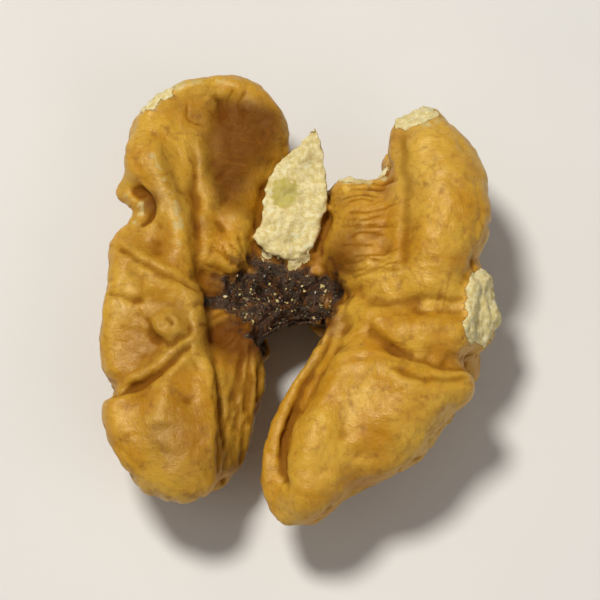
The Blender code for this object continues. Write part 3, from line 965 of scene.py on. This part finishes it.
def crumb_material():
    material = bpy.data.materials.new("pith_crumb")
    n = Nodes(material)
    tone = n.noise(0.8 * MM, 1.0)
    colour = n.mix(n.ramp(tone, 0.46, 0.58), UMBER, RUST)
    colour = n.mix(n.ramp(n.noise(0.5 * MM, 1.0), 0.54, 0.66), colour, CREAM)
    n.feed(n.shader.inputs["Base Color"], colour)
    n.shader.inputs["Roughness"].default_value = 0.35
    n.feed(n.shader.inputs["Normal"], n.bump(n.noise(0.06 * MM, 2.0), 0.4, 0.02 * MM))
    return material


def floor_material():
    material = bpy.data.materials.new("pale_floor")
    n = Nodes(material)
    tone = n.noise(40 * MM, 3.0)
    colour = n.mix(n.ramp(tone, 0.3, 0.7), FLOOR_DARK, FLOOR_LIGHT)
    n.feed(n.shader.inputs["Base Color"], colour)
    n.shader.inputs["Roughness"].default_value = 0.8
    return material


# ---------------------------------------------------------------- stage

FLOOR_RADIUS = 0.9
FLOOR_BEND = 0.6
WALL_TOP = 1.6
FLOOR_SIDES = 96
BEND_STEPS = 14


def floor_profile():
    """Radius and height of each ring: the flat floor's edge, a quarter circle up and a low wall."""
    bend = [(FLOOR_RADIUS + FLOOR_BEND * math.sin(t), FLOOR_BEND - FLOOR_BEND * math.cos(t))
            for t in np.linspace(0.0, 0.5 * math.pi, BEND_STEPS)]
    return bend + [(FLOOR_RADIUS + FLOOR_BEND, WALL_TOP)]


def add_floor():
    """A round floor that curves up into a pale wall far behind the kernel on every side."""
    bm = bmesh.new()
    rings = []
    for radius, height in floor_profile():
        rings.append([bm.verts.new((radius * math.cos(a), radius * math.sin(a), height))
                      for a in np.linspace(0.0, 2.0 * math.pi, FLOOR_SIDES, endpoint=False)])
    middle = bm.verts.new((0.0, 0.0, 0.0))
    for k in range(FLOOR_SIDES):
        bm.faces.new((rings[0][k - 1], rings[0][k], middle))
    for low, high in zip(rings, rings[1:]):
        for k in range(FLOOR_SIDES):
            bm.faces.new((low[k], low[k - 1], high[k - 1], high[k]))
    mesh = bpy.data.meshes.new("floor")
    bm.to_mesh(mesh)
    bm.free()
    mesh.polygons.foreach_set("use_smooth", [True] * len(mesh.polygons))
    floor = link("floor", mesh)
    floor.location.z = cad_low.z
    mesh.materials.append(floor_material())


def aim(thing, place, target):
    thing.location = place
    thing.rotation_mode = "QUATERNION"
    thing.rotation_quaternion = (Vector(target) - Vector(place)).to_track_quat("-Z", "Y")


def add_light(name, place, target, size, power, colour):
    data = bpy.data.lights.new(name, "AREA")
    data.shape = "DISK"
    data.size = size
    data.energy = power
    data.color = colour
    light = bpy.data.objects.new(name, data)
    bpy.context.scene.collection.objects.link(light)
    aim(light, place, target)


def add_lights(middle):
    add_light("key", (-0.10, 0.08, 0.36), middle, 0.08, 1.20, (1.0, 0.96, 0.89))
    add_light("fill", (0.26, -0.22, 0.28), middle, 0.34, 0.28, (0.98, 0.98, 1.0))
    world = bpy.data.worlds.new("soft_studio")
    world.use_nodes = True
    background = world.node_tree.nodes["Background"]
    background.inputs["Color"].default_value = (1.0, 0.98, 0.95, 1.0)
    background.inputs["Strength"].default_value = 0.24
    bpy.context.scene.world = world


CAMERA_ELEVATION = math.radians(72.0)
CAMERA_DISTANCE = 0.26
CAMERA_LENS = 205.0
LOOK_HEIGHT = 0.55


def add_camera():
    """The camera looks down on the kernel from the open cleft's side, at a share of its height."""
    target = (cad_low + cad_high) / 2
    target.z = cad_low.z + LOOK_HEIGHT * (cad_high.z - cad_low.z)
    data = bpy.data.cameras.new("camera")
    data.lens = CAMERA_LENS
    data.sensor_width = 36.0
    data.clip_start = 0.01
    camera = bpy.data.objects.new("camera", data)
    bpy.context.scene.collection.objects.link(camera)
    back = -CAMERA_DISTANCE * math.cos(CAMERA_ELEVATION)
    up = CAMERA_DISTANCE * math.sin(CAMERA_ELEVATION)
    aim(camera, target + Vector((0.0, back, up)), target)
    bpy.context.scene.camera = camera


# ---------------------------------------------------------------- the scene

kernel = sculpt_kernel(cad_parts[NODE])
kernel.data.materials.append(skin_material())
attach(kernel, "root")
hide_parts(NODE)

find_top = surface_finder(kernel)
fibres = add_fibres(find_top)
fibres.data.materials.append(fibre_material())
crumbs = add_crumbs(find_top)
crumbs.data.materials.append(crumb_material())
for piece in (fibres, crumbs):
    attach(piece, "root")

add_floor()
add_lights((cad_low + cad_high) / 2)
add_camera()
bpy.context.scene.view_settings.view_transform = "Standard"
